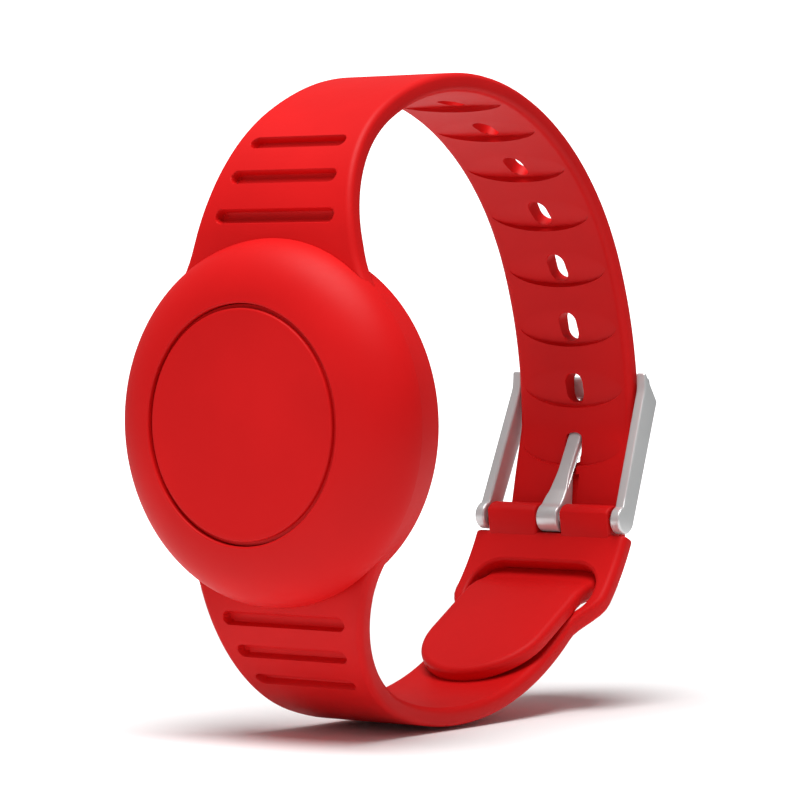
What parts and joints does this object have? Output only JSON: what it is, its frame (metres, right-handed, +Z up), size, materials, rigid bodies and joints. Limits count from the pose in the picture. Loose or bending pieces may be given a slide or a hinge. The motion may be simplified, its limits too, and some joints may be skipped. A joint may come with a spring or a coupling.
{
  "type": "tracker wristband",
  "caption": "Round domed tracker pod with a press pad, on a one-piece silicone wrist strap closed by a steel pin buckle.",
  "frame": {"origin": "middle of the wrist opening, on the pod's axis", "axes": "+Z up towards the top of the loop, -Y the way the pod faces, X along the wrist"},
  "size_m": [0.039, 0.0651, 0.0709],
  "materials": {
    "silicone": "satin red silicone, softly rounded",
    "steel": "fine bead-blasted steel with polished edges",
    "case_plastic": "white moulded plastic, matt",
    "door_metal": "turned steel lid",
    "board": "green solder mask",
    "chip_black": "black moulded epoxy",
    "ceramic": "fired ceramic",
    "component_metal": "pressed tinned can",
    "gold_plate": "gold-plated spring bronze",
    "cell_steel": "nickel-plated cell can",
    "seal_rubber": "black nitrile rubber"
  },
  "bodies": {
    "band": {"band": "silicone", "dome_cover": "silicone", "tag_front_shell": "case_plastic", "tag_back_shell": "case_plastic", "circuit_board": "board", "tact_switch": "component_metal", "radio_chip": "chip_black", "crystal": "component_metal", "chip_antenna": "ceramic", "chip_capacitors": "ceramic", "buzzer": "gold_plate", "coin_cell": "cell_steel", "positive_contact": "gold_plate", "negative_contact": "gold_plate", "door_seal": "seal_rubber", "case_screws": "component_metal", "spring_bar_tube": "steel", "spring_bar_coil": "steel"},
    "button": {"press_pad": "silicone", "tag_button": "case_plastic", "switch_plunger": "chip_black"},
    "door": {"battery_door": "door_metal"},
    "frame": {"buckle_frame": "steel"},
    "tongue": {"buckle_tongue": "steel"},
    "tip_left": {"spring_bar_tip_left": "steel"},
    "tip_right": {"spring_bar_tip_right": "steel"}
  },
  "joints": [
    {"name": "press", "type": "slide", "parent": "band", "child": "button", "axis": [0, 1, 0], "range_m": [0, 0.0003], "stiffness_N_per_m": 1500, "springref_m": -0.0003},
    {"name": "door_turn", "type": "hinge", "parent": "band", "child": "door", "pos_m": [0, -0.0226, 0], "axis": [0, 1, 0], "range_deg": [0, 30]},
    {"name": "frame_swing", "type": "hinge", "parent": "band", "child": "frame", "pos_m": [0, 0.0236, -0.0124], "axis": [-1, 0, 0], "range_deg": [0, 2]},
    {"name": "tongue_swing", "type": "hinge", "parent": "frame", "child": "tongue", "pos_m": [0, 0.0236, -0.0124], "axis": [-1, 0, 0], "range_deg": [0, 1]},
    {"name": "tip_left_push", "type": "slide", "parent": "band", "child": "tip_left", "axis": [1, 0, 0], "range_m": [0, 0.00115], "stiffness_N_per_m": 600, "springref_m": -0.0005, "deforming": ["spring_bar_coil"]},
    {"name": "tip_right_push", "type": "slide", "parent": "band", "child": "tip_right", "axis": [-1, 0, 0], "range_m": [0, 0.00115], "stiffness_N_per_m": 600, "springref_m": -0.0005, "deforming": ["spring_bar_coil"]}
  ]
}
